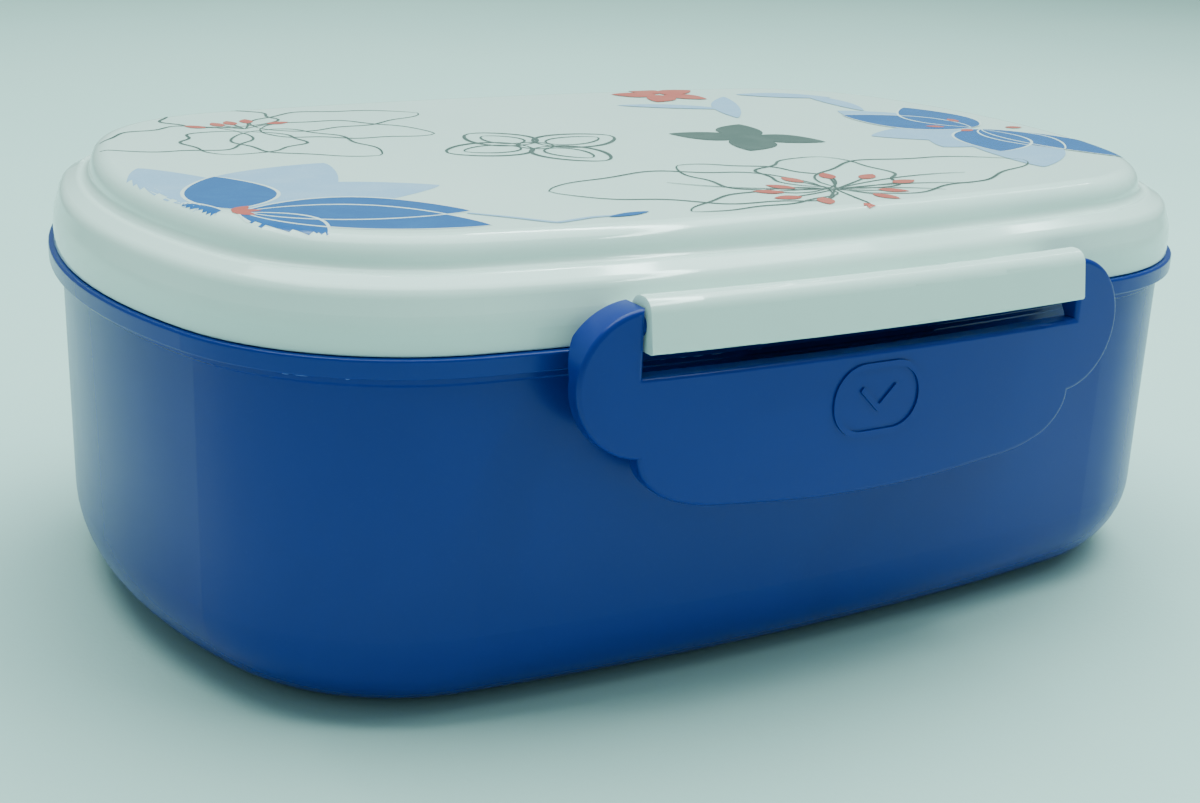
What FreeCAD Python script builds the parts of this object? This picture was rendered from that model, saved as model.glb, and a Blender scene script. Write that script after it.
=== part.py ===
import FreeCAD, Part
import math
import os

from FreeCAD import Vector

# Bento lunch box, closed and latched.
# Millimetres. +X runs along the long side, -Y is the front, +Z is up.
# Origin: centre of the base's underside, on the table.
# Offsets are measured outwards from the lid skirt's outer outline.

# ---- overall sizes --------------------------------------------------------
LID_LENGTH = 190.0          # lid skirt, along X
LID_WIDTH = 128.5           # lid skirt, along Y
BASE_HEIGHT = 52.2          # table to the base's rim
LID_HEIGHT = 9.9            # skirt's lower edge to the shoulder
PANEL_RISE = 4.4            # shoulder to the raised panel's face

# ---- plan outline ---------------------------------------------------------
SIDE_ARC_R = 484.0          # long sides
END_ARC_R = 106.5           # short ends
CORNER_ARC_R = 38.8         # corners
CORE_INSET = 24.0           # ring pieces close onto flat plates this far in

# ---- base shell -----------------------------------------------------------
BASE_INSET = 1.1            # wall's outer face at the rim
BASE_WALL = 1.8
BASE_FLOOR = 2.0
BASE_DRAFT = 0.1            # the wall leans in by this at the bottom
BASE_BOTTOM_R = 14.0        # rounding between wall and underside
RIM_BEAD = 0.4              # small lip round the top of the wall
RIM_BEAD_HEIGHT = 1.0
FOOT_WIDTH = 4.0            # standing ring under the base
FOOT_RECESS = 0.6

# ---- food tray ------------------------------------------------------------
BAND_OVERHANG = 0.9         # flange edge stands out past the lid skirt
BAND_HEIGHT = 2.75          # visible rim band
TRAY_WALL = 1.5
TRAY_DEPTH = 28.0           # flange's underside to the tray's underside
TRAY_DRAFT = 1.5
TRAY_BOTTOM_R = 8.5
TRAY_TO_BASE = 0.45         # side clearance inside the base wall
TRAY_TO_RIM = 0.1           # seam between flange and rim
UPSTAND_HEIGHT = 4.3        # sealing edge above the band
UPSTAND_WALL = 1.7
UPSTAND_TO_SKIRT = 0.4

# ---- dividers -------------------------------------------------------------
DIVIDER_X = 31.0            # each side of the middle
DIVIDER_THICKNESS = 1.6
DIVIDER_TO_LID = 2.95       # divider's top under the lid's groove rib
DIVIDER_TO_TRAY = 0.4
DIVIDER_GRIP_HEIGHT = 3.0
DIVIDER_GRIP_THICKNESS = 3.2
DIVIDER_SCOOP_R = 34.0
DIVIDER_SCOOP_DEPTH = 4.0
RIB_WIDTH = 1.2
RIB_DEPTH = 1.6
RIB_TO_DIVIDER = 0.25
RIB_TOP_DROP = 6.0          # ribs end this far below the flange

# ---- lid ------------------------------------------------------------------
LID_WALL = 1.9
LID_TO_BAND = 0.1           # seam between skirt and band
SHOULDER_WIDTH = 4.2        # skirt face to the crease
PANEL_INSET = 6.0           # panel's side wall
PANEL_EDGE_R = 3.3
GROOVE_WIDTH = 5.2          # seal groove under the shoulder
GROOVE_RIB = 1.3
GROOVE_RIB_DEPTH = 3.0

# ---- seal -----------------------------------------------------------------
SEAL_SIDE_GAP = 0.25
SEAL_TO_UPSTAND = 0.35

# ---- pivot bars on the lid ------------------------------------------------
BAR_LENGTH = 76.6
BAR_PROUD = 9.5             # bar's lower front edge past the skirt
BAR_LEAN = 1.1              # the bar's face leans back by this at the top
BAR_HEIGHT = 7.4
BAR_RISE = 0.7              # bar's lower edge above the skirt's
BAR_BACK = 3.5              # open channel between the skirt and the bar's back
BAR_WALL = 1.8
BAR_END_BLOCK = 8.0
BAR_EDGE_R = 2.2            # top edge, front
BAR_BACK_R = 2.4            # top edge, back
PIVOT_RISE = 4.15           # pivot axis above the skirt's lower edge
PIVOT_PROUD = 4.5           # pivot axis past the skirt, at the middle
PIN_R = 1.6
PIN_LENGTH = 6.0
PIN_CLEARANCE = 0.05
PIN_END_GAP = 0.3

# ---- catch lugs on the base -----------------------------------------------
LUG_LENGTH = 36.0
LUG_PROUD = 3.2
LUG_HEIGHT = 4.2
LUG_TOP_DROP = 1.8          # lug's top below the rim

# ---- latches --------------------------------------------------------------
LATCH_PLATE = 2.6
LATCH_PROUD = 8.0           # plate's face past the skirt
LATCH_DEPTH = 28.5          # pivot axis to the lower edge
LATCH_TOP_GAP = 3.4         # slot between the bar and the plate
LATCH_END_GAP = 0.3         # bar end to arm
LOBE_R = 10.55
LOBE_INSET = 0.8            # lobe's centre inside the end of the pivot bar
LOBE_DROP = 7.9             # lobe's centre below the pivot axis
ARM_STANDOFF = 2.6          # arms' back past the skirt
ARM_DEPTH = 6.6             # arm thins down to the plate by this far below the pivot axis
ARM_SHOULDER = 1.9          # and starts to thin here
LATCH_EDGE_R = 0.7
LIP_HEIGHT = 2.7
LIP_ENGAGE = 1.1            # lip under lug
LIP_TO_LUG = 0.25
MARK_DROP = 14.1            # raised press mark below the pivot axis
MARK_LENGTH = 16.0
MARK_WIDTH = 11.0
MARK_LINE = 0.9
MARK_PROUD = 0.3

# ---- levels ---------------------------------------------------------------
RIM_Z = BASE_HEIGHT
BAND_UNDER_Z = RIM_Z + TRAY_TO_RIM
BAND_TOP_Z = BAND_UNDER_Z + BAND_HEIGHT
SKIRT_Z = BAND_TOP_Z + LID_TO_BAND
SHOULDER_Z = SKIRT_Z + LID_HEIGHT
PANEL_Z = SHOULDER_Z + PANEL_RISE
UPSTAND_Z = BAND_TOP_Z + UPSTAND_HEIGHT
TRAY_UNDER_Z = BAND_UNDER_Z - TRAY_DEPTH
TRAY_FLOOR_Z = TRAY_UNDER_Z + TRAY_WALL
GROOVE_Z = SHOULDER_Z - LID_WALL
BAR_Z = SKIRT_Z + BAR_RISE
PIVOT_Z = SKIRT_Z + PIVOT_RISE
PIVOT_Y = -(LID_WIDTH / 2 + PIVOT_PROUD)
LUG_TOP_Z = RIM_Z - LUG_TOP_DROP
LUG_UNDER_Z = LUG_TOP_Z - LUG_HEIGHT

# ---- offsets --------------------------------------------------------------
BASE_IN = -BASE_INSET - BASE_WALL
TRAY_OUT = BASE_IN - TRAY_TO_BASE
TRAY_IN = TRAY_OUT - TRAY_WALL
UPSTAND_OUT = -LID_WALL - UPSTAND_TO_SKIRT
UPSTAND_IN = UPSTAND_OUT - UPSTAND_WALL
GROOVE_IN = -LID_WALL - GROOVE_WIDTH
PANEL_IN = GROOVE_IN - GROOVE_RIB
LOBE_X = BAR_LENGTH / 2 - LOBE_INSET

FRONT_CENTRE_Y = SIDE_ARC_R - LID_WIDTH / 2
Z_AXIS = Vector(0, 0, 1)


def outline_arcs():
    """Reference outline as (centre x, centre y, radius, start, sweep), anticlockwise."""
    end_x = LID_LENGTH / 2 - END_ARC_R
    r_side = SIDE_ARC_R - CORNER_ARC_R
    r_end = END_ARC_R - CORNER_ARC_R
    # corner centre: r_side from the front arc's centre, r_end from the end arc's
    gap = math.hypot(end_x, FRONT_CENTRE_Y)
    along = (gap ** 2 + r_side ** 2 - r_end ** 2) / (2 * gap)
    across = math.sqrt(r_side ** 2 - along ** 2)
    ux, uy = end_x / gap, -FRONT_CENTRE_Y / gap
    corner_x = along * ux - across * uy
    corner_y = FRONT_CENTRE_Y + along * uy + across * ux
    side_half = math.atan2(corner_x, FRONT_CENTRE_Y - corner_y)
    end_half = math.atan2(-corner_y, corner_x - end_x)
    turn = math.pi / 2 - side_half - end_half
    down = -math.pi / 2
    return [
        (0, FRONT_CENTRE_Y, SIDE_ARC_R, down - side_half, 2 * side_half),
        (corner_x, corner_y, CORNER_ARC_R, down + side_half, turn),
        (end_x, 0, END_ARC_R, -end_half, 2 * end_half),
        (corner_x, -corner_y, CORNER_ARC_R, end_half, turn),
        (0, -FRONT_CENTRE_Y, SIDE_ARC_R, -down - side_half, 2 * side_half),
        (-corner_x, -corner_y, CORNER_ARC_R, -down + side_half, turn),
        (-end_x, 0, END_ARC_R, math.pi - end_half, 2 * end_half),
        (-corner_x, corner_y, CORNER_ARC_R, math.pi + end_half, turn),
    ]


def rounded_wire(corners, place):
    """Closed wire through 2-D corners (u, v, radius), each radius a tangent arc."""
    spans = []
    count = len(corners)
    for i, (u, v, radius) in enumerate(corners):
        before = corners[i - 1]
        after = corners[(i + 1) % count]
        back = Vector(before[0] - u, before[1] - v, 0).normalize()
        ahead = Vector(after[0] - u, after[1] - v, 0).normalize()
        here = Vector(u, v, 0)
        half = back.getAngle(ahead) / 2
        reach = radius / math.tan(half)
        inward = (back + ahead).normalize() if radius else Vector()
        middle = here + inward * (radius / math.sin(half) - radius)
        spans.append((here + back * reach, middle, here + ahead * reach, radius))
    edges = []
    for i, (start, middle, end, radius) in enumerate(spans):
        if radius:
            arc = Part.Arc(place(start.x, start.y), place(middle.x, middle.y), place(end.x, end.y))
            edges.append(arc.toShape())
        onward = spans[(i + 1) % count][0]
        if end.distanceToPoint(onward) > 1e-6:
            edges.append(Part.makeLine(place(end.x, end.y), place(onward.x, onward.y)))
    return Part.Wire(edges)


def swept(corners, arc):
    """Profile of (offset, z, radius) corners turned along one arc of the outline."""
    cx, cy, radius, start, sweep = arc
    away = Vector(math.cos(start), math.sin(start), 0)
    centre = Vector(cx, cy, 0)

    def place(offset, z):
        return centre + away * (radius + offset) + Z_AXIS * z

    face = Part.Face(rounded_wire(corners, place))
    return face.revolve(centre, Z_AXIS, math.degrees(sweep))


def fused(shapes):
    """One solid from touching or overlapping solids."""
    return shapes[0].multiFuse(shapes[1:]).removeSplitter()


def ring(corners):
    """Profile of (offset, z, radius) corners taken right round the outline."""
    return [swept(corners, arc) for arc in outline_arcs()]


def plate(offset, z_low, z_high):
    """Flat plate of the outline's shape."""
    edges = []
    for cx, cy, radius, start, sweep in outline_arcs():
        points = []
        for angle in (start, start + sweep / 2, start + sweep):
            reach = radius + offset
            points.append(Vector(cx + reach * math.cos(angle), cy + reach * math.sin(angle), z_low))
        edges.append(Part.Arc(*points).toShape())
    return Part.Face(Part.Wire(edges)).extrude(Z_AXIS * (z_high - z_low))


def front_sector(corners, half_x):
    """Profile that follows the front arc, cut square at x = -half_x and half_x."""
    turn = math.asin((half_x + 4) / SIDE_ARC_R)
    body = swept(corners, (0, FRONT_CENTRE_Y, SIDE_ARC_R, -math.pi / 2 - turn, 2 * turn))
    box = Part.makeBox(2 * half_x, LID_WIDTH, PANEL_Z, Vector(-half_x, -LID_WIDTH, 0))
    return body.common(box)


def upright(corners):
    """Solid of an outline in X and Z, taken through the front wall along Y."""
    def place(x, z):
        return Vector(x, -LID_WIDTH, z)

    return Part.Face(rounded_wire(corners, place)).extrude(Vector(0, LID_WIDTH, 0))


def side_y(x, offset):
    """Half width of the outline's long side at x."""
    return math.sqrt((SIDE_ARC_R + offset) ** 2 - x ** 2) - FRONT_CENTRE_Y


def both_sides(shape):
    """The shape and its copy turned half round the vertical axis."""
    back = shape.copy()
    back.rotate(Vector(), Z_AXIS, 180)
    return [shape, back]


def base_shell():
    """Outer container with a standing ring and a catch lug front and back."""
    foot_in = -BASE_INSET - BASE_DRAFT - BASE_BOTTOM_R - FOOT_WIDTH
    under = RIM_Z - RIM_BEAD_HEIGHT
    wall = ring([
        (-CORE_INSET, FOOT_RECESS, 0),
        (foot_in, FOOT_RECESS, 0),
        (foot_in + FOOT_RECESS, 0, 0),
        (-BASE_INSET - BASE_DRAFT, 0, BASE_BOTTOM_R),
        (-BASE_INSET, under - RIM_BEAD, 0),
        (-BASE_INSET + RIM_BEAD, under, 0),
        (-BASE_INSET + RIM_BEAD, RIM_Z, 0.35),
        (BASE_IN, RIM_Z, 0.2),
        (BASE_IN - BASE_DRAFT, BASE_FLOOR, BASE_BOTTOM_R - BASE_WALL),
        (-CORE_INSET, BASE_FLOOR, 0),
    ])
    lug = front_sector([
        (-BASE_INSET - BASE_WALL / 2, LUG_UNDER_Z, 0),
        (LUG_PROUD, LUG_UNDER_Z, 0.3),
        (LUG_PROUD, LUG_TOP_Z - 1.0, 0.5),
        (LUG_PROUD - 0.8, LUG_TOP_Z, 0.3),
        (-BASE_INSET - BASE_WALL / 2, LUG_TOP_Z, 0),
    ], LUG_LENGTH / 2)
    floor = plate(-CORE_INSET, FOOT_RECESS, BASE_FLOOR)
    return fused(wall + [floor] + both_sides(lug))


def divider_rib(x, z_low, z_high):
    """Guide rib on the tray's front wall, its root inside the wall."""
    deep = side_y(abs(x), TRAY_OUT)
    shallow = side_y(abs(x), TRAY_IN - TRAY_DRAFT) - RIB_DEPTH
    box = Part.makeBox(RIB_WIDTH, deep - shallow, z_high - z_low,
                       Vector(x - RIB_WIDTH / 2, -deep, z_low))
    outside = inner_core(z_low, z_high)
    return box.common(outside)


def inner_core(z_low, z_high):
    """Everything inside the middle of the tray's wall."""
    lean = TRAY_DRAFT / TRAY_DEPTH
    low = TRAY_OUT - TRAY_WALL / 2 - lean * (BAND_UNDER_Z - z_low)
    high = TRAY_OUT - TRAY_WALL / 2 - lean * (BAND_UNDER_Z - z_high)
    arc = (0, FRONT_CENTRE_Y, SIDE_ARC_R, -math.pi / 2 - 0.12, 0.24)
    return swept([(low, z_low, 0), (-CORE_INSET, z_low, 0), (-CORE_INSET, z_high, 0),
                  (high, z_high, 0)], arc)


def food_tray():
    """Inner tray hung on the base's rim by the flange that shows as a band."""
    band_out = BAND_OVERHANG
    wall = ring([
        (-CORE_INSET, TRAY_UNDER_Z, 0),
        (TRAY_OUT - TRAY_DRAFT, TRAY_UNDER_Z, TRAY_BOTTOM_R),
        (TRAY_OUT, BAND_UNDER_Z, 0),
        (band_out, BAND_UNDER_Z, 0.3),
        (band_out, BAND_TOP_Z, 0.4),
        (UPSTAND_OUT, BAND_TOP_Z, 0.3),
        (UPSTAND_OUT, UPSTAND_Z, 0.6),
        (UPSTAND_IN, UPSTAND_Z, 0.6),
        (UPSTAND_IN, BAND_TOP_Z + 0.5, 0.8),
        (TRAY_IN, BAND_UNDER_Z, 1.5),
        (TRAY_IN - TRAY_DRAFT, TRAY_FLOOR_Z, TRAY_BOTTOM_R - TRAY_WALL),
        (-CORE_INSET, TRAY_FLOOR_Z, 0),
    ])
    floor = plate(-CORE_INSET, TRAY_UNDER_Z, TRAY_FLOOR_Z)
    rib_step = (DIVIDER_THICKNESS + RIB_WIDTH) / 2 + RIB_TO_DIVIDER
    ribs = []
    for x in (DIVIDER_X - rib_step, DIVIDER_X + rib_step):
        for side in (-1, 1):
            rib = divider_rib(side * x, TRAY_FLOOR_Z + TRAY_BOTTOM_R, BAND_UNDER_Z - RIB_TOP_DROP)
            ribs.extend(both_sides(rib))
    return fused(wall + [floor] + ribs)


def divider(x):
    """Removable cross partition that slots between the tray's ribs."""
    edge_x = abs(x) + DIVIDER_GRIP_THICKNESS / 2
    low_z = TRAY_FLOOR_Z + DIVIDER_TO_TRAY
    top_z = GROOVE_Z - GROOVE_RIB_DEPTH - DIVIDER_TO_LID
    foot_y = side_y(edge_x, TRAY_IN - TRAY_DRAFT) - DIVIDER_TO_TRAY
    neck_y = side_y(edge_x, TRAY_IN) - DIVIDER_TO_TRAY - TRAY_DRAFT / 2
    outline = [
        (-foot_y, low_z, TRAY_BOTTOM_R),
        (foot_y, low_z, TRAY_BOTTOM_R),
        (neck_y, top_z, 2.0),
        (-neck_y, top_z, 2.0),
    ]

    def place(y, z):
        return Vector(x - DIVIDER_THICKNESS / 2, y, z)

    sheet = Part.Face(rounded_wire(outline, place)).extrude(Vector(DIVIDER_THICKNESS, 0, 0))
    grip_half = neck_y - 2 * RIB_DEPTH - 2
    grip = Part.makeBox(DIVIDER_GRIP_THICKNESS, 2 * grip_half, DIVIDER_GRIP_HEIGHT,
                        Vector(x - DIVIDER_GRIP_THICKNESS / 2, -grip_half,
                               top_z - DIVIDER_GRIP_HEIGHT))
    along_y = [e for e in grip.Edges if abs(e.tangentAt(e.FirstParameter).y) > 0.9]
    grip = grip.makeFillet(0.8, along_y)
    scoop = Part.makeCylinder(DIVIDER_SCOOP_R, 2 * DIVIDER_GRIP_THICKNESS,
                              Vector(x - DIVIDER_GRIP_THICKNESS, 0,
                                     top_z + DIVIDER_SCOOP_R - DIVIDER_SCOOP_DEPTH),
                              Vector(1, 0, 0))
    return fused([sheet, grip]).cut(scoop)


def lid_shell():
    """Two-step lid with a hollow pivot bar along each long side."""
    crease_z = SHOULDER_Z - 0.2
    wall = ring([
        (0, SKIRT_Z, 0.25),
        (0, SHOULDER_Z - 5.7, 7.5),
        (-0.32 * SHOULDER_WIDTH, SHOULDER_Z - 1.5, 2.4),
        (-SHOULDER_WIDTH, SHOULDER_Z, 1.2),
        (-PANEL_INSET, crease_z, 1.2),
        (-PANEL_INSET - 0.3, PANEL_Z, PANEL_EDGE_R),
        (-CORE_INSET, PANEL_Z, 0),
        (-CORE_INSET, PANEL_Z - LID_WALL, 0),
        (PANEL_IN, PANEL_Z - LID_WALL, 1.6),
        (PANEL_IN, GROOVE_Z - GROOVE_RIB_DEPTH, 0.3),
        (GROOVE_IN, GROOVE_Z - GROOVE_RIB_DEPTH, 0.3),
        (GROOVE_IN, GROOVE_Z, 0.2),
        (-LID_WALL, GROOVE_Z, 0.2),
        (-LID_WALL, SKIRT_Z, 0.25),
    ])
    panel = plate(-CORE_INSET, PANEL_Z - LID_WALL, PANEL_Z)
    solid = fused(wall + [panel])
    return fused([solid] + both_sides(pivot_bar())).cut(Part.makeCompound(both_sides(pin_holes())))


def pivot_bar():
    """Bar on a web in front of the skirt: hollow underneath, with a solid block at each end."""
    root = -LID_WALL / 2
    top = BAR_Z + BAR_HEIGHT
    face = [
        (root, BAR_Z + BAR_WALL, 0),
        (BAR_BACK, BAR_Z + BAR_WALL, 0.8),
        (BAR_BACK, top, BAR_BACK_R),
        (BAR_PROUD - BAR_LEAN, top, BAR_EDGE_R),
        (BAR_PROUD, BAR_Z, 0.5),
    ]
    hook = front_sector(face + [
        (BAR_PROUD - BAR_WALL, BAR_Z, 0.4),
        (BAR_PROUD - BAR_WALL - BAR_LEAN, top - BAR_WALL, 0.4),
        (BAR_BACK + BAR_WALL, top - BAR_WALL, 0.4),
        (BAR_BACK + BAR_WALL, BAR_Z, 0.4),
        (root, BAR_Z, 0),
    ], BAR_LENGTH / 2)
    block = front_sector(face + [(root, BAR_Z, 0)], BAR_LENGTH / 2)
    inner = BAR_LENGTH / 2 - BAR_END_BLOCK
    middle = Part.makeBox(2 * inner, LID_WIDTH, PANEL_Z, Vector(-inner, -LID_WIDTH, 0))
    return fused([hook, block.cut(middle)])


def pin_holes():
    """Blind bores for the latch pins, one in each end of the front bar."""
    depth = PIN_LENGTH + PIN_END_GAP
    holes = []
    for side in (-1, 1):
        start = Vector(side * BAR_LENGTH / 2, PIVOT_Y, PIVOT_Z)
        holes.append(Part.makeCylinder(PIN_R + PIN_CLEARANCE, depth, start, Vector(-side, 0, 0)))
    return Part.makeCompound(holes)


def lid_seal():
    """Soft ring in the lid's groove, over the tray's sealing edge."""
    out = -LID_WALL - SEAL_SIDE_GAP
    inner = GROOVE_IN + SEAL_SIDE_GAP
    low = UPSTAND_Z + SEAL_TO_UPSTAND
    step = GROOVE_Z - GROOVE_RIB_DEPTH + 0.6
    return fused(ring([
        (out, low, 0.5),
        (out, GROOVE_Z, 0.3),
        (inner, GROOVE_Z, 0.3),
        (inner, step, 0.5),
        (UPSTAND_IN - 0.4, step, 0.3),
        (UPSTAND_IN - 0.4, low, 0.4),
    ]))


def latch_outline():
    """Butterfly outline of the latch: a bowl between two round lobes."""
    half = BAR_LENGTH / 2 + LATCH_END_GAP + 0.2
    low = PIVOT_Z - LATCH_DEPTH
    top = BAR_Z - LATCH_TOP_GAP
    bowl = upright([
        (-half, top, 0),
        (-half, low + 8.2, 6.0),
        (3.4 - half, low + 4.2, 10.0),
        (9.9 - half, low + 2.1, 22.0),
        (0, low - 0.4, 200.0),
        (half - 9.9, low + 2.1, 22.0),
        (half - 3.4, low + 4.2, 10.0),
        (half, low + 8.2, 6.0),
        (half, top, 0),
    ])
    lobes = []
    for side in (-1, 1):
        centre = Vector(side * LOBE_X, -LID_WIDTH, PIVOT_Z - LOBE_DROP)
        lobes.append(Part.makeCylinder(LOBE_R, LID_WIDTH, centre, Vector(0, 1, 0)))
    slot_half = BAR_LENGTH / 2 + LATCH_END_GAP
    slot = Part.makeBox(2 * slot_half, LID_WIDTH, PANEL_Z, Vector(-slot_half, -LID_WIDTH, top))
    return fused([bowl] + lobes).cut(slot)


def front_shell(near, far, half_x):
    """Curved slab between two offsets in front of the skirt."""
    return front_sector([(near, 1.0, 0), (far, 1.0, 0), (far, SHOULDER_Z, 0),
                         (near, SHOULDER_Z, 0)], half_x)


def press_mark():
    """Raised outline and chevron that show where to press."""
    z = PIVOT_Z - MARK_DROP
    inner_l = MARK_LENGTH / 2 - MARK_LINE
    inner_w = MARK_WIDTH / 2 - MARK_LINE
    outer = upright(stadium(z, MARK_LENGTH / 2, MARK_WIDTH / 2))
    inner = upright(stadium(z, inner_l, inner_w))
    arm = MARK_WIDTH * 0.26
    chevron = upright([
        (-arm - MARK_LINE * 0.7, z + arm / 2, 0.2),
        (0, z - arm / 2 - MARK_LINE * 0.7, 0.3),
        (arm + MARK_LINE * 0.7, z + arm / 2, 0.2),
        (arm, z + arm / 2 + MARK_LINE * 0.7, 0.2),
        (0, z - arm / 2 + MARK_LINE * 0.7, 0.2),
        (-arm, z + arm / 2 + MARK_LINE * 0.7, 0.2),
    ])
    skin = front_shell(LATCH_PROUD - LATCH_PLATE / 2, LATCH_PROUD + MARK_PROUD, BAR_LENGTH / 2)
    return [outer.cut(inner).common(skin), chevron.common(skin)]


def stadium(z, half_l, half_w):
    """Corners of a rectangle with fully rounded ends."""
    r = half_w * 0.96
    return [(-half_l, z - half_w, r), (half_l, z - half_w, r),
            (half_l, z + half_w, r), (-half_l, z + half_w, r)]


def softened(body, offset, radius):
    """Round the edges of the face that lies this far in front of the skirt."""
    edges = []
    for face in body.Faces:
        surface = face.Surface
        if isinstance(surface, Part.Cylinder) and abs(surface.Radius - SIDE_ARC_R - offset) < 1e-6:
            edges.extend(face.OuterWire.Edges)
    return body.makeFillet(radius, edges)


def front_latch():
    """Swinging latch: curved plate, two arms with stub pins, and an inner lip."""
    reach = LOBE_X + LOBE_R + 2
    outline = latch_outline()
    skin = outline.common(front_shell(LATCH_PROUD - LATCH_PLATE, LATCH_PROUD, reach))
    slot_half = BAR_LENGTH / 2 + LATCH_END_GAP
    between = Part.makeBox(2 * slot_half, LID_WIDTH, PANEL_Z, Vector(-slot_half, -LID_WIDTH, 0))
    thick = front_sector([
        (LATCH_PROUD - LATCH_PLATE, PIVOT_Z - ARM_DEPTH, 0),
        (LATCH_PROUD, PIVOT_Z - ARM_DEPTH, 0),
        (LATCH_PROUD, SHOULDER_Z, 0),
        (ARM_STANDOFF, SHOULDER_Z, 0),
        (ARM_STANDOFF, PIVOT_Z - ARM_SHOULDER, 1.0),
    ], reach)
    arms = outline.common(thick).cut(between)
    pins = []
    for side in (-1, 1):
        root = Vector(side * (slot_half + 2.5), PIVOT_Y, PIVOT_Z)
        length = PIN_LENGTH + LATCH_END_GAP + 2.5
        pins.append(Part.makeCylinder(PIN_R, length, root, Vector(-side, 0, 0)))
    lip_top = LUG_UNDER_Z - LIP_TO_LUG
    lip = front_sector([
        (LUG_PROUD - LIP_ENGAGE, lip_top, 0.3),
        (LATCH_PROUD - LATCH_PLATE / 2, lip_top, 0),
        (LATCH_PROUD - LATCH_PLATE / 2, lip_top - LIP_HEIGHT, 0),
        (LUG_PROUD - LIP_ENGAGE + 0.6, lip_top - LIP_HEIGHT * 0.6, 0.6),
    ], LUG_LENGTH / 2 - 0.5)
    shell = softened(fused([skin] + arms.Solids), LATCH_PROUD, LATCH_EDGE_R)
    return fused([shell] + pins + [lip] + press_mark())


def rear_latch():
    """The front latch's twin on the back."""
    return both_sides(front_latch())[1]


PIECES = {
    "base_shell": base_shell,
    "food_tray": food_tray,
    "left_divider": lambda: divider(-DIVIDER_X),
    "right_divider": lambda: divider(DIVIDER_X),
    "lid_shell": lid_shell,
    "lid_seal": lid_seal,
    "front_latch": front_latch,
    "rear_latch": rear_latch,
}

os.makedirs("parts", exist_ok=True)
for name, make in PIECES.items():
    solid = make()
    print(name, "solids", len(solid.Solids), "valid", solid.isValid(),
          "volume", round(solid.Volume, 1), "box", solid.BoundBox)
    solid.exportStep(f"parts/{name}.step")
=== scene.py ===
import logging
import math
import random
from dataclasses import dataclass, field
from enum import Enum
from typing import Callable, Optional, Sequence, Union

import bmesh
import bpy
from mathutils import Matrix, Vector
from mathutils.bvhtree import BVHTree


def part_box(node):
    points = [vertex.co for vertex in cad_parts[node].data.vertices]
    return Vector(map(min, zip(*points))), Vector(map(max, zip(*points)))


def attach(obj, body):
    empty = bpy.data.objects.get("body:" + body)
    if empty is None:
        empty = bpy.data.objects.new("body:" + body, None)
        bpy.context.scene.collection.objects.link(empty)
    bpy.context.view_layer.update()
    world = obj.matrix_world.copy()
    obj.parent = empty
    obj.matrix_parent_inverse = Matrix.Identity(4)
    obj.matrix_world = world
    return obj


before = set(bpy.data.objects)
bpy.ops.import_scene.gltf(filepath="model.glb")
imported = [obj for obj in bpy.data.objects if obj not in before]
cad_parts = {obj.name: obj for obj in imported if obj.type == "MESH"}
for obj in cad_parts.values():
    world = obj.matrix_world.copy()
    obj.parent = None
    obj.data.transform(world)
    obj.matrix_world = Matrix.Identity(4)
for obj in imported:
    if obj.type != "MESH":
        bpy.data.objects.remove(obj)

LOG = logging.getLogger("lunch_box")
MM = 0.001
POLYMER_IOR = 1.49
SCATTER_DEPTH = 0.0015  # metres that light travels inside the lid
INK_RELIEF = 0.006  # millimetres
WEAVE_RELIEF = 0.05  # millimetres
RUFFLE_WAVES = 5
RING_PARTS = 24
LINE_BLOSSOM_FULLNESS = 1.15

Colour = tuple[float, float, float]
Flat = tuple[float, float]
DAYLIGHT: Colour = (0.76, 1.0, 0.95)


# ---- shader graph ---------------------------------------------------------


class Signal:
    """A node's output that takes part in arithmetic, one Math node per step."""

    def __init__(self, graph: "Graph", socket: bpy.types.NodeSocket) -> None:
        """Keeps the output and the graph that it belongs to."""
        self.graph = graph
        self.socket = socket

    def maths(self, operation: str, *values: "Value") -> "Signal":
        """Adds one Math node.

        Args:
            operation: the Math node's operation.
            values: its inputs, in order.

        Returns:
            The node's output.
        """
        node = self.graph.add("ShaderNodeMath", {"operation": operation}, dict(enumerate(values)))
        return Signal(self.graph, node.outputs[0])

    def __add__(self, other: "Value") -> "Signal":
        """Sum."""
        return self.maths("ADD", self, other)

    __radd__ = __add__

    def __mul__(self, other: "Value") -> "Signal":
        """Product."""
        return self.maths("MULTIPLY", self, other)

    __rmul__ = __mul__

    def above(self, low: float, high: float) -> "Signal":
        """Ramp from 0 at low to 1 at high.

        Args:
            low: value where the ramp is 0.
            high: value where the ramp is 1.

        Returns:
            The clamped ramp.
        """
        node = self.graph.add(
            "ShaderNodeMapRange",
            {"interpolation_type": "SMOOTHSTEP"},
            {"Value": self, "From Min": low, "From Max": high},
        )
        return Signal(self.graph, node.outputs[0])


Value = Union[float, int, Colour, Signal]


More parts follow.
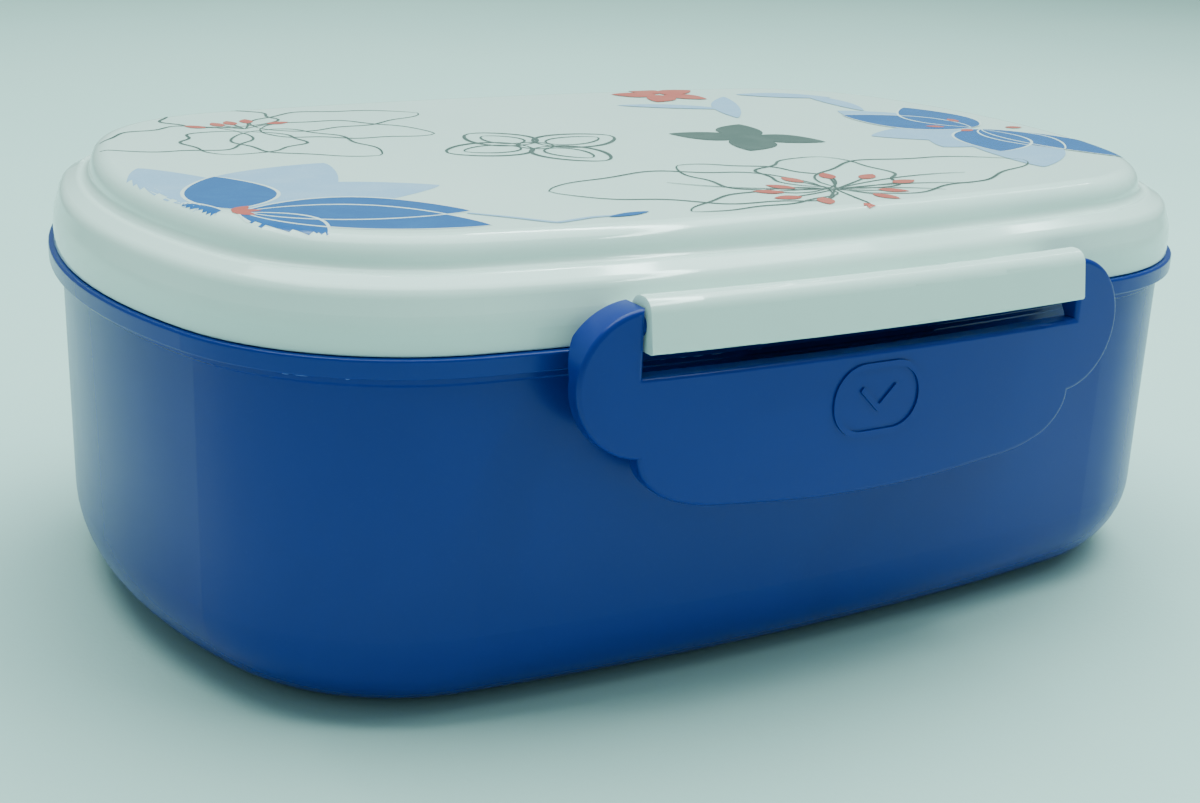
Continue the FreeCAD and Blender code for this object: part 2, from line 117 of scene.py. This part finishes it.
class Graph:
    """A material's nodes, added one at a time."""

    def __init__(self, name: str) -> None:
        """Starts a material with one Principled shader.

        Args:
            name: the material's name.
        """
        self.material = bpy.data.materials.new(name)
        self.material.use_nodes = True
        self.tree = self.material.node_tree
        self.shader = self.tree.nodes["Principled BSDF"]
        self.object_place = Signal(self, self.add("ShaderNodeTexCoord").outputs["Object"])

    def feed(self, node: bpy.types.Node, sockets: dict[Union[str, int], Value]) -> None:
        """Sets or links a node's inputs.

        Args:
            node: the node to feed.
            sockets: a value or signal for each input, by name or place.
        """
        for key, value in sockets.items():
            if isinstance(value, Signal):
                self.tree.links.new(value.socket, node.inputs[key])
            elif isinstance(value, tuple) and node.inputs[key].type == "RGBA":
                node.inputs[key].default_value = (*value, 1.0)
            else:
                node.inputs[key].default_value = value

    def add(
        self,
        kind: str,
        settings: Optional[dict[str, object]] = None,
        sockets: Optional[dict[Union[str, int], Value]] = None,
    ) -> bpy.types.Node:
        """Adds a node, sets its settings first, and then feeds its inputs.

        Args:
            kind: the node's type.
            settings: the node's own properties.
            sockets: a value or signal for each input.

        Returns:
            The node.
        """
        node = self.tree.nodes.new(kind)
        for key, value in (settings or {}).items():
            setattr(node, key, value)
        self.feed(node, sockets or {})
        return node

    def noise(self, scale: float, detail: float = 2.0, warp: float = 0.0) -> Signal:
        """Noise over the object.

        Args:
            scale: noise cells per metre.
            detail: octaves.
            warp: distortion.

        Returns:
            The noise, around 0.5.
        """
        node = self.add(
            "ShaderNodeTexNoise",
            {"noise_dimensions": "3D"},
            {
                "Vector": self.object_place,
                "Scale": scale,
                "Detail": detail,
                "Distortion": warp,
            },
        )
        return Signal(self, node.outputs[0])

    def height(self) -> Signal:
        """Height above the surface the object stands on."""
        node = self.add("ShaderNodeSeparateXYZ", {}, {0: self.object_place})
        return Signal(self, node.outputs[2])

    def mix(self, share: Value, first: Value, second: Value) -> Signal:
        """Mixes two colours.

        Args:
            share: share of the second colour.
            first: the colour where share is 0.
            second: the colour where share is 1.

        Returns:
            The mixed colour.
        """
        node = self.add(
            "ShaderNodeMix", {"data_type": "RGBA"}, {0: share, 6: first, 7: second}
        )
        return Signal(self, node.outputs[2])

    def relief(self, height: Signal, depth: float) -> None:
        """Feeds the shader's normal from a height.

        Args:
            height: height between 0 and 1.
            depth: depth of the relief in metres.
        """
        bump = self.add("ShaderNodeBump", {}, {"Strength": 1.0, "Distance": depth, "Height": height})
        self.feed(self.shader, {"Normal": Signal(self, bump.outputs[0])})


# ---- finishes -------------------------------------------------------------


@dataclass(frozen=True)
class Plastic:
    """Moulded plastic: flow marks, specks, orange peel, fine grain and a scuffed foot.

    Attributes:
        colour: main colour.
        flow: colour along the flow marks.
        scuffed: colour of specks and of the worn foot.
        glint: strength of the mirror reflection.
        translucence: share of light that scatters inside.
        peel_depth: depth of the orange peel, in millimetres.
        peel_scale: peel cells per metre.
        grain_depth: depth of the fine grain, in millimetres.
        grain_scale: grain cells per metre.
        speckle: share of the scuffed colour in a speck.
        foot: height that is worn, in millimetres.
    """

    name: str
    colour: Colour
    flow: Colour
    scuffed: Colour
    roughness: float = 0.25
    ior: float = POLYMER_IOR
    glint: float = 0.5
    translucence: float = 0.0
    peel_depth: float = 0.01
    peel_scale: float = 260.0
    grain_depth: float = 0.002
    grain_scale: float = 3200.0
    speckle: float = 0.05
    foot: float = 0.0

    def make(self) -> bpy.types.Material:
        """Makes the finish's material.

        Returns:
            The material.
        """
        graph = Graph(self.name)
        flow = graph.noise(28.0, 3.0, 0.8).above(0.35, 0.7)
        speck = graph.noise(1500.0, 1.0).above(0.6, 0.8)
        colour = graph.mix(flow, self.colour, self.flow)
        colour = graph.mix(speck * self.speckle, colour, self.scuffed)
        rough = flow * 0.03 + self.roughness
        if self.foot:
            low = graph.height().above(self.foot * MM, 0.0)
            worn = low * graph.noise(700.0, 4.0).above(0.42, 0.6)
            colour = graph.mix(worn * 0.55, colour, self.scuffed)
            rough = rough + worn * 0.3
        peel = graph.noise(self.peel_scale, 2.0, 0.3) * (self.peel_depth / self.total_depth())
        grain = graph.noise(self.grain_scale, 2.0) * (self.grain_depth / self.total_depth())
        graph.relief(peel + grain, self.total_depth() * MM)
        graph.feed(
            graph.shader,
            {
                "Base Color": colour,
                "Roughness": rough,
                "IOR": self.ior,
                "Specular IOR Level": self.glint,
                "Subsurface Weight": self.translucence,
                "Subsurface Radius": (1.0, 1.0, 1.0),
                "Subsurface Scale": SCATTER_DEPTH,
            },
        )
        return graph.material

    def total_depth(self) -> float:
        """Depth of peel and grain together, in millimetres."""
        return self.peel_depth + self.grain_depth


@dataclass(frozen=True)
class PrintedInk:
    """Ink under the lid's gloss, with uneven cover and a faint screen grain."""

    name: str
    colour: Colour
    thin: Colour
    roughness: float = 0.22

    def make(self) -> bpy.types.Material:
        """Makes the ink's material.

        Returns:
            The material.
        """
        graph = Graph(self.name)
        cover = graph.noise(160.0, 3.0, 0.4).above(0.4, 0.7)
        screen = graph.noise(2600.0, 1.0).above(0.45, 0.75)
        colour = graph.mix(cover * 0.5 + screen * 0.18, self.colour, self.thin)
        graph.relief(graph.noise(260.0, 2.0, 0.3) + screen * 0.1, INK_RELIEF * MM)
        graph.feed(
            graph.shader,
            {"Base Color": colour, "Roughness": screen * 0.05 + self.roughness, "IOR": POLYMER_IOR},
        )
        return graph.material


@dataclass(frozen=True)
class Backdrop:
    """Seamless pale studio cloth."""

    colour: Colour
    shade: Colour

    def make(self) -> bpy.types.Material:
        """Makes the cloth's material.

        Returns:
            The material.
        """
        graph = Graph("studio_cloth")
        soft = graph.noise(3.0, 3.0, 0.5).above(0.3, 0.75)
        weave = graph.noise(900.0, 2.0)
        graph.relief(weave, WEAVE_RELIEF * MM)
        graph.feed(
            graph.shader,
            {"Base Color": graph.mix(soft, self.colour, self.shade), "Roughness": 0.85},
        )
        return graph.material


class Finish(Enum):
    """Finishes of the box's own pieces."""

    SHELL = Plastic(
        "shell_blue",
        colour=(0.0005, 0.021, 0.24),
        flow=(0.0004, 0.019, 0.22),
        scuffed=(0.04, 0.12, 0.38),
        roughness=0.24,
        glint=0.3,
        grain_depth=0.0005,
        speckle=0.02,
        foot=1.2,
    )
    TRAY = Plastic(
        "tray_blue",
        colour=(0.0006, 0.026, 0.25),
        flow=(0.0005, 0.023, 0.23),
        scuffed=(0.04, 0.13, 0.40),
        roughness=0.22,
        glint=0.3,
        grain_depth=0.0005,
        speckle=0.02,
    )
    LATCH = Plastic(
        "latch_blue",
        colour=(0.0005, 0.020, 0.225),
        flow=(0.0004, 0.018, 0.21),
        scuffed=(0.04, 0.14, 0.42),
        roughness=0.28,
        glint=0.3,
        peel_depth=0.006,
        grain_depth=0.0005,
        speckle=0.02,
    )
    DIVIDER = Plastic(
        "divider_blue",
        colour=(0.030, 0.16, 0.55),
        flow=(0.025, 0.14, 0.50),
        scuffed=(0.15, 0.32, 0.68),
        roughness=0.3,
    )
    LID = Plastic(
        "lid_white",
        colour=(0.78, 0.93, 0.885),
        flow=(0.755, 0.91, 0.865),
        scuffed=(0.64, 0.74, 0.72),
        roughness=0.06,
        translucence=0.12,
        peel_depth=0.003,
        grain_depth=0.0008,
    )
    SEAL = Plastic(
        "seal_silicone",
        colour=(0.74, 0.78, 0.78),
        flow=(0.70, 0.75, 0.75),
        scuffed=(0.58, 0.62, 0.62),
        roughness=0.45,
        translucence=0.3,
        ior=1.41,
    )


class Ink(Enum):
    """The lid's inks, each with its lift above the lid in millimetres."""

    PALE = (PrintedInk("ink_pale", (0.34, 0.52, 0.78), (0.42, 0.58, 0.80)), 0.02)
    BLUE = (PrintedInk("ink_blue", (0.006, 0.105, 0.37), (0.014, 0.14, 0.43)), 0.03)
    GREY = (PrintedInk("ink_grey", (0.065, 0.10, 0.09), (0.11, 0.15, 0.14)), 0.04)
    RED = (PrintedInk("ink_red", (0.60, 0.09, 0.07), (0.66, 0.16, 0.12)), 0.05)
    WHITE = (PrintedInk("ink_white", (0.80, 0.87, 0.86), (0.76, 0.84, 0.83)), 0.035)

    @property
    def ink(self) -> PrintedInk:
        """The ink's finish."""
        return self.value[0]

    @property
    def lift(self) -> float:
        """Height of the ink above the lid, in millimetres."""
        return self.value[1]


# ---- surfaces -------------------------------------------------------------


@dataclass
class Skin:
    """The surface of one moulded piece, which other pieces are laid on."""

    node: str
    tree: BVHTree = field(init=False)

    def __post_init__(self) -> None:
        """Reads the piece's faces."""
        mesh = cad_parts[self.node].data
        corners = [v.co.copy() for v in mesh.vertices]
        self.tree = BVHTree.FromPolygons(corners, [tuple(p.vertices) for p in mesh.polygons])

    def from_above(self, x: float, y: float) -> Optional[tuple[Vector, Vector]]:
        """Highest point over a place.

        Args:
            x: place along the box, in metres.
            y: place across the box, in metres.

        Returns:
            The point and its normal, or None beside the piece.
        """
        point, normal, _, _ = self.tree.ray_cast(Vector((x, y, 0.2)), Vector((0, 0, -1)))
        return None if point is None else (point, normal)

    def from_outside(self, angle: float, z: float) -> Optional[tuple[Vector, Vector]]:
        """Outermost point at a height.

        Args:
            angle: direction from the middle, in radians.
            z: height in metres.

        Returns:
            The point and its normal, or None where nothing is met.
        """
        out = Vector((math.cos(angle), math.sin(angle), 0))
        point, normal, _, _ = self.tree.ray_cast(out * 0.2 + Vector((0, 0, z)), -out)
        return None if point is None else (point, normal)


def finished(bm: bmesh.types.BMesh, name: str, body: str) -> bpy.types.Object:
    """Turns a mesh into a piece of the object.

    Args:
        bm: the mesh, which is freed.
        name: the piece's name.
        body: the body it rides on.

    Returns:
        The piece.
    """
    mesh = bpy.data.meshes.new(name)
    bm.to_mesh(mesh)
    bm.free()
    piece = bpy.data.objects.new(name, mesh)
    bpy.context.scene.collection.objects.link(piece)
    for face in mesh.polygons:
        face.use_smooth = True
    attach(piece, body)
    LOG.info("%s: %d faces on %s", name, len(mesh.polygons), body)
    return piece


# ---- the lid's print ------------------------------------------------------


def heading(degrees: float) -> Vector:
    """Direction on the lid."""
    return Vector((math.cos(math.radians(degrees)), math.sin(math.radians(degrees))))


@dataclass(frozen=True)
class Petal:
    """A petal on the lid, in millimetres.

    Attributes:
        root: where it grows from.
        turn: direction of its tip, in degrees.
        length: root to tip.
        width: across its widest place.
        bow: how far its middle bends to the left.
        point: above 1 sharpens the tip, below 1 blunts it.
        gap: distance that its root stands off.
        ruffle: share by which its edge waves in and out.
        taper: below 1 rounds both ends.
    """

    root: Flat
    turn: float
    length: float
    width: float
    bow: float = 0.0
    point: float = 1.0
    gap: float = 0.0
    ruffle: float = 0.0
    taper: float = 0.8

    def at(self, along: float, across: float) -> Vector:
        """A place on the petal.

        Args:
            along: 0 at the root, 1 at the tip.
            across: -1 at the right edge, 1 at the left.

        Returns:
            The place on the lid, in millimetres.
        """
        ahead = heading(self.turn)
        left = Vector((-ahead.y, ahead.x))
        bulge = math.sin(math.pi * along**self.point) if 0 < along < 1 else 0.0
        half = self.width / 2 * bulge**self.taper
        half *= 1 + self.ruffle * math.sin(RUFFLE_WAVES * math.pi * along + across)
        side = self.bow * math.sin(math.pi * along) + across * half
        return Vector(self.root) + ahead * (self.gap + along * self.length) + left * side

    def edge(self, side: int, count: int = 48) -> list[Vector]:
        """Places along one edge, root to tip."""
        return [self.at(i / count, side) for i in range(count + 1)]


@dataclass
class LidPrint:
    """Blossoms printed on the lid's panel, one thin piece for each ink."""

    skin: Skin
    step: float = 0.7
    line: float = 0.55
    drop: float = 0.9
    seed: int = 7
    layer: float = 0.0006
    order: int = 0
    sheets: dict[Ink, bmesh.types.BMesh] = field(default_factory=dict)

    def patch(self, ink: Ink, rows: int, columns: int, place: Callable[[float, float], Vector]) -> None:
        """Adds a grid whose corners go where place says.

        Args:
            ink: the ink it is printed in.
            rows: cells along the patch.
            columns: cells across it.
            place: the place for a share along and a side across.
        """
        bm = self.sheets.setdefault(ink, bmesh.new())
        made = bmesh.ops.create_grid(bm, x_segments=columns, y_segments=rows, size=0.5)
        self.order += 1
        lift = (ink.lift + self.order * self.layer) * MM
        for v in made["verts"]:
            spot = place(min(1.0, max(0.0, v.co.y + 0.5)), 2 * v.co.x) * MM
            v.co = (spot.x, spot.y, lift)

    def fill(self, ink: Ink, petal: Petal) -> None:
        """Prints a solid petal.

        Args:
            ink: the ink it is printed in.
            petal: the petal's shape.
        """
        rows = max(6, int(petal.length / self.step))
        columns = max(2, int(petal.width / self.step))
        self.patch(ink, rows, columns, petal.at)

    def stroke(self, ink: Ink, path: Sequence[Vector], width: float, taper: float = 0.35) -> None:
        """Prints a line that swells in its middle.

        Args:
            ink: the ink it is printed in.
            path: places along the line, in millimetres.
            width: width at its middle.
            taper: share of the width at its ends.
        """
        steps = [0.0]
        for a, b in zip(path, path[1:]):
            steps.append(steps[-1] + (b - a).length)

        def place(along: float, across: float) -> Vector:
            """The line's edge.

            Args:
                along: share of the line's length.
                across: -1 at the right edge, 1 at the left.

            Returns:
                The place on the lid, in millimetres.
            """
            reach = along * steps[-1]
            i = min(max(j for j, s in enumerate(steps) if s <= reach + 1e-9), len(path) - 2)
            share = (reach - steps[i]) / max(steps[i + 1] - steps[i], 1e-9)
            ahead = (path[i + 1] - path[i]).normalized()
            half = width / 2 * (taper + (1 - taper) * math.sin(math.pi * along) ** 0.7)
            return path[i].lerp(path[i + 1], share) + Vector((-ahead.y, ahead.x)) * across * half

        self.patch(ink, max(8, int(steps[-1] / self.step)), 1, place)

    def outline(self, petal: Petal, width: float, ink: Ink = Ink.GREY) -> None:
        """Prints both edges of a petal."""
        self.stroke(ink, petal.edge(1), width)
        self.stroke(ink, petal.edge(-1), width)

    def spot(self, ink: Ink, centre: Vector, turn: float, length: float, width: float) -> None:
        """Prints an oval spot."""
        start = centre - heading(turn) * length / 2
        self.fill(ink, Petal(tuple(start), turn, length, width, point=0.9))

    def stamens(self, centre: Flat, turns: Sequence[float], reach: Flat, spot: Flat) -> None:
        """Prints fine filaments that end in red spots.

        Args:
            centre: where they spring from.
            turns: direction of each, in degrees.
            reach: shortest and longest filament.
            spot: length and width of a spot.
        """
        rng = random.Random(self.seed)
        for turn in turns:
            length = rng.uniform(*reach)
            tip = Vector(centre) + heading(turn) * length
            bend = Vector(centre).lerp(tip, 0.5) + heading(turn + 90) * rng.uniform(-1.2, 1.2)
            path = [self.curve(Vector(centre), bend, tip, i / 10) for i in range(11)]
            self.stroke(Ink.GREY, path, self.line * 0.8)
            self.spot(Ink.RED, tip, turn + rng.uniform(-25, 25), *spot)

    @staticmethod
    def curve(start: Vector, bend: Vector, end: Vector, share: float) -> Vector:
        """A place on a curve that is drawn towards bend."""
        return start.lerp(bend, share).lerp(bend.lerp(end, share), share)

    @staticmethod
    def ring(centre: Flat, radius: float) -> list[Vector]:
        """Places around a circle, closed."""
        turns = (i * 360 // RING_PARTS for i in range(RING_PARTS + 1))
        return [Vector(centre) + heading(turn) * radius for turn in turns]

    def draw_corner_blossom(self) -> None:
        """Solid blue blossom at the front left, with a pale one behind it."""
        heart = (-80.0, -29.5)
        for turn, length, width, bow in ((50, 36, 20, 2), (96, 32, 15, 0), (12, 33, 17, 3)):
            self.fill(Ink.PALE, Petal(heart, turn, length, width, bow, 0.8, 2.0))
        petals = (
            Petal(heart, 78, 23, 13.5, -1.0, 0.85, 1.5),
            Petal(heart, -19, 31, 15.0, 2.0, 0.9, 1.5),
            Petal(heart, -34, 34, 15.0, 1.0, 0.9, 1.5),
            Petal(heart, -68, 17, 8.0, 1.5, 0.9, 1.5),
            Petal(heart, 150, 18, 10.0, 0.0, 0.9, 1.5),
        )
        for petal in petals:
            self.fill(Ink.BLUE, petal)
            self.outline(petal, 0.55, Ink.WHITE)
        for turn in (-60, -10, 40):
            self.spot(Ink.RED, Vector(heart) + heading(turn) * 1.8, turn, 4.2, 2.0)

    def draw_back_left_blossom(self) -> None:
        """Line blossom at the back left."""
        heart = (-57.0, 33.0)
        for turn, length, width, bow in (
            (200, 28, 19, 2),
            (245, 22, 17, 1),
            (292, 30, 16, -2),
            (335, 30, 15, 2),
            (12, 34, 15, 2),
            (95, 22, 17, 0),
        ):
            full = width * LINE_BLOSSOM_FULLNESS
            self.outline(Petal(heart, turn, length, full, bow, 0.72, 2.5, 0.09, 0.6), self.line)
        self.stamens(heart, (70, 95, 120, 150, 30), (6, 12), (4.4, 2.4))

    def draw_small_blossom(self) -> None:
        """Four-petal blossom in the middle, drawn with a double line."""
        heart = (-16.3, 3.2)
        for turn, length in ((186, 17.5), (112, 15.5), (16, 18.5), (-74, 17.0)):
            self.outline(Petal(heart, turn, length - 2, 12.0, 0.0, 0.8, 1.6, taper=0.55), 0.8)
            self.outline(Petal(heart, turn, length - 7, 6.6, 0.0, 0.8, 3.4, taper=0.55), 0.55)
        self.stroke(Ink.GREY, self.ring(heart, 3.1), 0.42, 1.0)

    def draw_solid_blossom(self) -> None:
        """Small solid grey blossom with white hairlines."""
        heart = (24.3, -0.8)
        for turn in (148, 62, -38, -122):
            petal = Petal(heart, turn, 14.0, 8.5, 0.8, 0.85)
            self.fill(Ink.GREY, petal)
            self.stroke(Ink.WHITE, [petal.at(i / 12, 0.35) for i in range(2, 12)], 0.4)
        self.stroke(Ink.WHITE, self.ring(heart, 2.6), 0.45, 1.0)

    def draw_front_blossom(self) -> None:
        """Large open line blossom at the front, with many stamens."""
        heart = (10.5, -45.0)
        for turn, length, width, bow in (
            (163, 44, 21, -3),
            (118, 27, 17, 0),
            (58, 27, 19, 0),
            (12, 48, 19, 3),
            (192, 30, 8, -1),
        ):
            full = width * LINE_BLOSSOM_FULLNESS
            self.outline(Petal(heart, turn, length, full, bow, 0.7, 1.0, 0.09, 0.6), self.line)
        turns = (60, 105, 150, 172, 195, 225, 262, 300, 335, 5, 30)
        self.stamens(heart, turns, (8, 16), (5.0, 2.7))
        for turn, length in ((150, 26), (8, 30), (-8, 25), (-20, 18)):
            tip = Vector(heart) + heading(turn) * length
            bend = Vector(heart) + heading(turn + 14) * length * 0.6
            path = [self.curve(Vector(heart), bend, tip, i / 12) for i in range(13)]
            self.stroke(Ink.GREY, path, self.line * 0.8)

    def draw_back_right_blossom(self) -> None:
        """Solid blue blossom at the back right, with a pale one behind it."""
        heart = (73.5, -6.0)
        for turn, length, width in ((182, 25, 15), (245, 38, 17), (215, 24, 16), (118, 28, 18)):
            self.fill(Ink.PALE, Petal(heart, turn, length, width, 1.5, 0.8, 1.0))
        for turn, length, width in (
            (128, 25, 16),
            (84, 24, 14),
            (238, 24, 14),
            (270, 22, 12),
            (281, 34, 12),
        ):
            petal = Petal(heart, turn, length, width, 0.8, 0.85, 1.2)
            self.fill(Ink.BLUE, petal)
            self.outline(petal, 0.5, Ink.WHITE)
        for turn, reach in ((80, 9), (200, 4), (-10, 8), (150, 8)):
            self.spot(Ink.RED, Vector(heart) + heading(turn) * reach, turn, 3.8, 2.1)

    def draw_far_edge(self) -> None:
        """Red blossom and pale leaves at the back edge."""
        for turn in (20, 92, 164, 236, 308):
            self.fill(Ink.RED, Petal((36.0, 48.0), turn, 9.5, 6.0, 0.6, 0.85, 0.8))
        for root, turn, length, width in (
            ((20, 38), -28, 22, 4.5),
            ((35, 18), 62, 27, 5.5),
            ((66, 40), -92, 22, 5.0),
            ((52, 44), -28, 20, 6.0),
        ):
            self.fill(Ink.PALE, Petal(root, turn, length, width, 1.0))

    def draw_front_sprig(self) -> None:
        """Pale hairline sprig at the front edge."""
        stops = ((-50.5, -41.5), (-46, -46), (-41.5, -51.2), (-35, -49.8), (-28, -50.2))
        path = [Vector(stop) for stop in stops]
        self.stroke(Ink.PALE, path, 0.9, 0.6)
        self.fill(Ink.BLUE, Petal((-33, -50.6), 10, 7.5, 1.8))

    def lay(self, bm: bmesh.types.BMesh) -> None:
        """Lays flat print on the lid and trims what runs off the panel.

        Args:
            bm: the print, flat, with each place's lift above the lid as its height.
        """
        bmesh.ops.remove_doubles(bm, verts=bm.verts, dist=2e-7)
        bmesh.ops.dissolve_degenerate(bm, edges=bm.edges, dist=2e-7)
        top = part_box(self.skin.node)[1].z
        rng = random.Random(self.seed)
        off = []
        for v in bm.verts:
            hit = self.skin.from_above(v.co.x, v.co.y)
            low = top - self.drop * MM * rng.uniform(0.4, 1.0)
            if hit is None or hit[0].z < low:
                off.append(v)
            else:
                v.co = hit[0] + hit[1] * v.co.z
        bmesh.ops.delete(bm, geom=off, context="VERTS")
        bm.normal_update()
        down = [f for f in bm.faces if f.normal.z < 0]
        bmesh.ops.reverse_faces(bm, faces=down)

    def build(self) -> None:
        """Draws every blossom and makes one piece for each ink."""
        self.draw_corner_blossom()
        self.draw_back_left_blossom()
        self.draw_small_blossom()
        self.draw_solid_blossom()
        self.draw_front_blossom()
        self.draw_back_right_blossom()
        self.draw_far_edge()
        self.draw_front_sprig()
        for ink, bm in self.sheets.items():
            self.lay(bm)
            piece = finished(bm, f"lid_print_{ink.name.lower()}", "lid")
            piece.data.materials.append(ink.ink.make())


# ---- the box --------------------------------------------------------------


@dataclass
class LunchBox:
    """The moulded pieces, each with its finish."""

    finishes: dict[str, Finish] = field(
        default_factory=lambda: {
            "base_shell": Finish.SHELL,
            "food_tray": Finish.TRAY,
            "left_divider": Finish.DIVIDER,
            "right_divider": Finish.DIVIDER,
            "lid_shell": Finish.LID,
            "lid_seal": Finish.SEAL,
            "front_latch": Finish.LATCH,
            "rear_latch": Finish.LATCH,
        }
    )

    def dress(self) -> None:
        """Gives each moulded piece its finish."""
        made = {finish: finish.value.make() for finish in set(self.finishes.values())}
        for node, finish in self.finishes.items():
            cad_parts[node].material_slots[0].material = made[finish]
            LOG.info("%s: %s", node, finish.name)


@dataclass
class SeamFlash:
    """Thin flecks of moulding flash along the seam under the tray's rim, coloured lighter than the
    shell as a painted highlight.

    Attributes:
        below_top: how far the flecks sit below the piece's top, in millimetres.
    """

    skin: Skin
    below_top: float = 0.25
    count: int = 46
    seed: int = 11

    def build(self) -> None:
        """Makes the flecks as one piece that rides on the base."""
        rng = random.Random(self.seed)
        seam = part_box(self.skin.node)[1].z - self.below_top * MM
        bm = bmesh.new()
        for _ in range(self.count):
            hit = self.skin.from_outside(rng.uniform(-math.pi, math.pi), seam)
            half = Vector((rng.uniform(0.3, 1.5), 0.16, rng.uniform(0.10, 0.2))) * MM
            if hit is None:
                continue
            point, normal = hit
            along = Vector((0, 0, 1)).cross(normal).normalized()
            up = normal.cross(along)
            turn = Matrix((along, normal, up)).transposed().to_4x4()
            where = Matrix.Translation(point) @ turn @ Matrix.Diagonal((*half, 1.0))
            bmesh.ops.create_icosphere(bm, subdivisions=2, radius=1.0, matrix=where)
        piece = finished(bm, "seam_flash", "base")
        # The flash is real geometry, but its lighter divider blue is a painted highlight standing in
        # for the glints on the burrs.
        piece.data.materials.append(Finish.DIVIDER.value.make())


# ---- studio ---------------------------------------------------------------


@dataclass(frozen=True)
class Softbox:
    """A square soft light."""

    name: str
    place: Vector
    aim: Vector
    size: Flat
    power: float
    colour: Colour = DAYLIGHT

    def make(self) -> None:
        """Adds the light."""
        data = bpy.data.lights.new(self.name, "AREA")
        data.shape = "RECTANGLE"
        data.size, data.size_y = self.size
        data.energy = self.power
        data.color = self.colour
        lamp = bpy.data.objects.new(self.name, data)
        turn = (self.aim - self.place).to_track_quat("-Z", "Y").to_matrix().to_4x4()
        lamp.matrix_world = Matrix.Translation(self.place) @ turn
        bpy.context.scene.collection.objects.link(lamp)


@dataclass
class Studio:
    """Pale floor, soft lights and the pale room around them."""

    half: float = 3.0
    room: Colour = (0.48, 0.75, 0.70)
    room_strength: float = 0.58
    cloth: Backdrop = Backdrop((0.53, 0.72, 0.685), (0.505, 0.695, 0.66))
    lights: Sequence[Softbox] = (
        Softbox("overhead", Vector((0.05, 0.12, 1.0)), Vector((0, 0, 0.03)), (1.2, 0.8), 18.0),
        Softbox("front_tube", Vector((0.45, 0.0, 0.95)), Vector((0.3, 0, 0.0)), (1.5, 0.045), 8.0),
        Softbox("back_tube", Vector((0.45, 0.45, 0.9)), Vector((0.3, 0, 0.0)), (1.4, 0.03), 3.0),
    )

    def build(self) -> None:
        """Adds the floor, the room and the lights."""
        bm = bmesh.new()
        bmesh.ops.create_grid(bm, x_segments=1, y_segments=1, size=self.half)
        mesh = bpy.data.meshes.new("floor")
        bm.to_mesh(mesh)
        bm.free()
        floor = bpy.data.objects.new("floor", mesh)
        floor.data.materials.append(self.cloth.make())
        bpy.context.scene.collection.objects.link(floor)
        world = bpy.data.worlds.new("room")
        world.use_nodes = True
        shade = world.node_tree.nodes["Background"]
        shade.inputs["Color"].default_value = (*self.room, 1.0)
        shade.inputs["Strength"].default_value = self.room_strength
        bpy.context.scene.world = world
        for light in self.lights:
            light.make()


@dataclass(frozen=True)
class Camera:
    """The camera, placed in millimetres and aimed in degrees."""

    place: Vector = Vector((-154.374, -256.247, 120.97))
    yaw: float = 30.488
    pitch: float = -18.207
    roll: float = 2.269
    lens: float = 52.316
    sensor: float = 36.0

    def make(self) -> None:
        """Adds the camera and makes it the scene's."""
        yaw, pitch, roll = (math.radians(a) for a in (self.yaw, self.pitch, self.roll))
        ahead = Vector(
            (math.sin(yaw) * math.cos(pitch), math.cos(yaw) * math.cos(pitch), math.sin(pitch))
        )
        level = Vector((math.cos(yaw), -math.sin(yaw), 0))
        upright = level.cross(ahead)
        right = level * math.cos(roll) + upright * math.sin(roll)
        up = upright * math.cos(roll) - level * math.sin(roll)
        data = bpy.data.cameras.new("camera")
        data.lens = self.lens
        data.sensor_width = self.sensor
        data.clip_start = 0.01
        camera = bpy.data.objects.new("camera", data)
        turn = Matrix((right, up, -ahead)).transposed().to_4x4()
        camera.matrix_world = Matrix.Translation(self.place * MM) @ turn
        bpy.context.scene.collection.objects.link(camera)
        bpy.context.scene.camera = camera


def main() -> None:
    """Builds the looks, the studio and the camera."""
    logging.basicConfig(level=logging.INFO, format="%(name)s: %(message)s")
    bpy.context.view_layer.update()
    Camera().make()
    LunchBox().dress()
    LidPrint(Skin("lid_shell")).build()
    SeamFlash(Skin("base_shell")).build()
    Studio().build()


if __name__ == "__main__":
    main()
